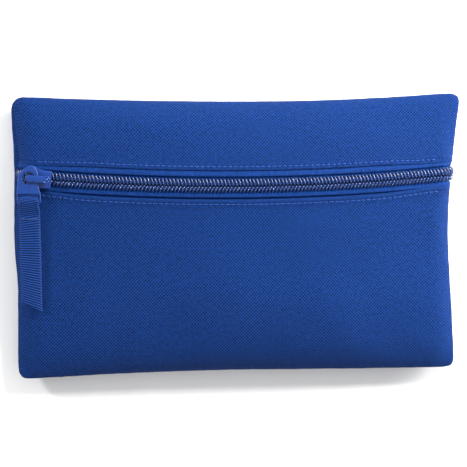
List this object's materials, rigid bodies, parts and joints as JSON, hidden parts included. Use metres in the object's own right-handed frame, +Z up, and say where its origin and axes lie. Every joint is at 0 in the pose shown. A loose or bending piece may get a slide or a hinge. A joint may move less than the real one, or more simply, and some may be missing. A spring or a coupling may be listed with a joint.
{
  "type": "cash deposit bag",
  "caption": "Flat zipped fabric pouch for cash and coins, stuffed into a pillow shape, with a coil zip across its front and a long webbing puller.",
  "frame": {"origin": "middle of the pouch, on the surface that it lies on", "axes": "+X along the zip towards its open end, +Y towards the pouch's top edge, +Z up out of the front that carries the zip"},
  "size_m": [0.2202, 0.1375, 0.0272],
  "materials": {
    "pouch_fabric": "matt woven polyester",
    "zip_tape": "matt knitted tape",
    "nylon_coil": "satin nylon",
    "thread": "satin thread",
    "painted_zinc": "gloss paint",
    "spring_steel": "bare steel",
    "puller_webbing": "ribbed woven webbing"
  },
  "bodies": {
    "root": {"back_panel": "pouch_fabric", "front_lower_panel": "pouch_fabric", "front_upper_panel_ends": "pouch_fabric", "lower_zip_tape": "zip_tape", "upper_zip_tape_ends": "zip_tape", "lower_coil": "nylon_coil", "upper_coil_ends": "nylon_coil", "lower_filler_cord": "thread", "lower_coil_stitching": "thread", "lower_topstitching": "thread", "seam_thread_left": "thread", "seam_thread_right": "thread", "seam_thread_bottom": "thread", "seam_thread_top": "thread", "seam_binding_left": "zip_tape", "seam_binding_right": "zip_tape", "seam_binding_bottom": "zip_tape", "seam_binding_top": "zip_tape"},
    "mouth_flap": {"front_upper_panel": "pouch_fabric", "upper_zip_tape": "zip_tape", "upper_coil": "nylon_coil", "upper_filler_cord": "thread", "upper_coil_stitching": "thread", "upper_topstitching": "thread"},
    "slider": {"slider_body": "painted_zinc", "slider_cap": "painted_zinc", "slider_lock_spring": "spring_steel"},
    "pull_tab": {"pull_tab": "painted_zinc"},
    "puller": {"puller_webbing": "puller_webbing", "puller_bartack": "thread"}
  },
  "joints": [
    {"name": "zip", "type": "hinge", "parent": "root", "child": "slider", "pos_m": [0, 0.309, -0.4971], "axis": [0, 0.8789, 0.4771], "range_deg": [0, 18.78]},
    {"name": "mouth", "type": "hinge", "parent": "root", "child": "mouth_flap", "pos_m": [0, 0.0678, 0.0115], "axis": [-1, 0, 0], "range_deg": [0, 20]},
    {"name": "pull_swivel", "type": "hinge", "parent": "slider", "child": "pull_tab", "pos_m": [-0.10235, 0.0295, 0.02207], "axis": [-0.1434, 0.0056, 0.9897], "range_deg": [-60, 20]},
    {"name": "puller_lift", "type": "hinge", "parent": "pull_tab", "child": "puller", "pos_m": [-0.10213, 0.0183, 0.02193], "axis": [-0.9892, -0.0181, -0.1452], "range_deg": [0, 110]}
  ]
}
